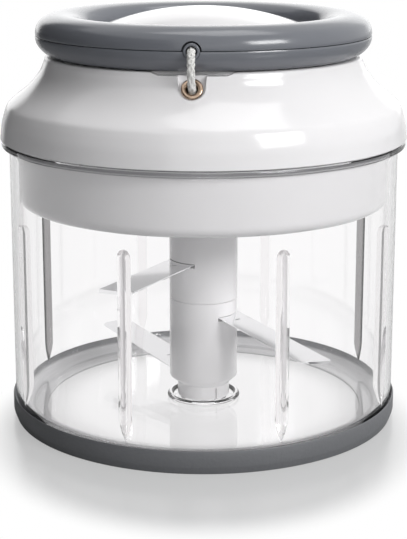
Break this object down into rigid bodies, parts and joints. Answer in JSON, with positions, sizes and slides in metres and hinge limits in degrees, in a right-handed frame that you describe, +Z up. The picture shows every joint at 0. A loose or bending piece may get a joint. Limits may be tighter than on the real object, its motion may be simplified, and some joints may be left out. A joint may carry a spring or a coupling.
{
  "type": "pull-cord food chopper",
  "caption": "Hand-powered food chopper: pulling the ring handle on its cord spins stacked steel blades inside a clear plastic bowl under a white lid.",
  "frame": {"origin": "middle of the flat underside of the base ring, on the axis of the bowl", "axes": "+Z up along the bowl axis, -Y towards the viewer of the picture, where the cord leaves the lid, +X to the viewer's right"},
  "size_m": [0.1348, 0.1348, 0.1376],
  "materials": {
    "clear_plastic": "clear glossy moulded styrene-like plastic",
    "grey_rubber": "satin soft-touch",
    "white_plastic": "glossy moulded",
    "grey_plastic": "satin gloss moulded",
    "dark_plastic": "plain moulded",
    "blade_steel": "bright polished strip",
    "plain_steel": "turned",
    "spring_steel": "blued strip",
    "brass": "pressed, slightly dull",
    "bronze": "sintered",
    "cord_fibre": "braided, slightly fuzzy"
  },
  "bodies": {
    "bowl": {"bowl": "clear_plastic", "base_ring": "grey_rubber", "pivot_pin": "plain_steel"},
    "blade_unit": {"blade_shaft_lower": "white_plastic", "blade_shaft_upper": "white_plastic", "blade_upper": "blade_steel", "blade_middle": "blade_steel", "blade_lower": "blade_steel"},
    "lid": {"lid_shell": "white_plastic", "mechanism_housing": "white_plastic", "housing_screw_1": "plain_steel", "housing_screw_2": "plain_steel", "housing_screw_3": "plain_steel", "housing_screw_4": "plain_steel", "cord_eyelet": "brass", "drum_axle": "plain_steel", "drum_bush": "bronze", "recoil_spring": "spring_steel", "cord_lead": "cord_fibre"},
    "drum": {"drive_hub": "dark_plastic", "cord_drum": "dark_plastic", "cord_winding": "cord_fibre"},
    "handle": {"handle_lower": "grey_plastic", "handle_upper": "grey_plastic", "handle_screw_1": "plain_steel", "handle_screw_2": "plain_steel", "handle_screw_3": "plain_steel", "handle_screw_4": "plain_steel", "cord_grommet": "grey_plastic", "pull_cord": "cord_fibre", "cord_knot": "cord_fibre"}
  },
  "joints": [
    {"name": "lid_lift", "type": "slide", "parent": "bowl", "child": "lid", "axis": [0, 0, 1], "range_m": [0, 0.1]},
    {"name": "handle_pull", "type": "slide", "parent": "lid", "child": "handle", "axis": [0, 0, 1], "range_m": [0, 0.3], "stiffness_N_per_m": 12, "springref_m": -0.2, "deforming": ["pull_cord"]},
    {"name": "drum_spin", "type": "hinge", "parent": "lid", "child": "drum", "pos_m": [0, 0, 0.09], "axis": [0, 0, 1], "range_deg": [0, 1000], "deforming": ["cord_winding"]},
    {"name": "blade_spin", "type": "hinge", "parent": "bowl", "child": "blade_unit", "pos_m": [0, 0, 0.02], "axis": [0, 0, 1], "range_deg": [0, 1000]}
  ],
  "couplings": [
    {"joint": "drum_spin", "follows": "handle_pull", "rad_per_m": 58},
    {"joint": "blade_spin", "follows": "handle_pull", "rad_per_m": 58}
  ]
}
